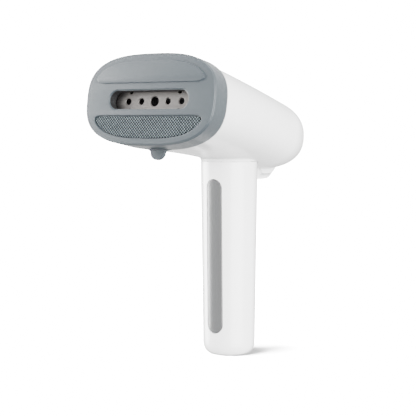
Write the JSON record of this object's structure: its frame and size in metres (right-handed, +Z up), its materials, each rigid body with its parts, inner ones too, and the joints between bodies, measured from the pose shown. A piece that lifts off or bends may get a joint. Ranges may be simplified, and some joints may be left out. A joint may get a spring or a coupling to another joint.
{
  "type": "handheld garment steamer",
  "caption": "Handheld garment steamer: a long tilted head with a grey slotted steam mouthpiece and fabric pad, on an upright round handle that is the water tank.",
  "frame": {"origin": "centre of the handle's foot, on the surface it stands on", "axes": "+Z up along the handle, the steam face looks towards -Y, +X to the right seen from the face towards the back"},
  "size_m": [0.101, 0.1756, 0.2043],
  "materials": {
    "white_shell": "satin white moulding",
    "white_lever": "satin white moulding",
    "white_grip": "satin white moulding",
    "grey_cover": "fine matt grey",
    "pad_weave": "woven polyester",
    "stainless": "fine satin",
    "black_plastic": "moulded glass-filled",
    "cast_aluminium": "as cast",
    "heater_steel": "oxidised sheath",
    "red_silicone": "silicone",
    "clear_silicone": "translucent silicone",
    "screw_steel": "zinc plated",
    "bimetal_disc": "stamped",
    "fuse_ceramic": "glazed sleeve",
    "shield_tin": "sheet",
    "pump_plastic": "moulded",
    "coil_tape": "wound copper under tape",
    "board_laminate": "solder mask",
    "board_components": "moulded packages",
    "button_white": "satin",
    "ring_light": "frosted diffuser",
    "switch_black": "moulded",
    "pin_steel": "ground pin",
    "spring_steel": "spring wire",
    "cord_rubber": "soft white elastomer",
    "tank_clear": "smoked translucent copolyester",
    "cap_grey": "moulded",
    "foot_rubber": "matt",
    "filter_mesh": "sintered weight"
  },
  "bodies": {
    "head": {"body_shell": "white_shell", "steam_plate": "stainless", "nozzle_block": "black_plastic", "front_frame": "black_plastic", "frame_screws": "screw_steel", "boiler_body": "cast_aluminium", "heater_element": "heater_steel", "boiler_gasket": "red_silicone", "boiler_lid": "cast_aluminium", "boiler_screws": "screw_steel", "thermostat": "bimetal_disc", "thermal_fuse": "fuse_ceramic", "heat_shield": "shield_tin", "chassis": "black_plastic", "pump_body": "pump_plastic", "pump_coil": "coil_tape", "pump_mounts": "foot_rubber", "feed_hose": "clear_silicone", "suction_hose": "clear_silicone", "control_board": "board_laminate", "board_parts": "board_components", "light_ring": "ring_light", "power_switch": "switch_black", "trigger_pin": "pin_steel", "trigger_bracket": "black_plastic", "trigger_switch": "switch_black", "trigger_spring": "spring_steel", "cord_gland": "cord_rubber", "cord_clamp": "black_plastic", "clamp_screws": "screw_steel", "neck_socket": "pump_plastic", "dock_seal": "red_silicone"},
    "mouthpiece": {"mouthpiece_cover": "grey_cover", "fabric_pad": "pad_weave"},
    "tank": {"handle_sleeve": "white_grip", "tank_liner": "tank_clear", "base_cap": "cap_grey", "foot_pad": "foot_rubber"},
    "cap": {"tank_cap": "cap_grey", "tank_cap_seal": "red_silicone", "suction_tube": "clear_silicone", "tank_filter": "filter_mesh", "air_valve": "red_silicone"},
    "trigger": {"trigger": "white_lever"},
    "power_button": {"power_button": "button_white"}
  },
  "joints": [
    {"name": "tank_pull", "type": "slide", "parent": "head", "child": "tank", "axis": [0, 0, -1], "range_m": [0, 0.03]},
    {"name": "cap_turn", "type": "hinge", "parent": "tank", "child": "cap", "pos_m": [0, 0, 0.1337], "axis": [0, 0, 1], "range_deg": [0, 90]},
    {"name": "cover_pull", "type": "slide", "parent": "head", "child": "mouthpiece", "axis": [0, -0.9877, 0.1564], "range_m": [0, 0.022]},
    {"name": "trigger_press", "type": "hinge", "parent": "head", "child": "trigger", "pos_m": [0, 0.0555, 0.1365], "axis": [-1, 0, 0], "range_deg": [0, 6], "stiffness_Nm_per_rad": 0.25, "springref_deg": -6.88, "deforming": ["trigger_spring"]},
    {"name": "power_press", "type": "slide", "parent": "head", "child": "power_button", "axis": [0, -0.2351, -0.972], "range_m": [0, 0.0011], "stiffness_N_per_m": 600, "springref_m": -0.0015}
  ]
}
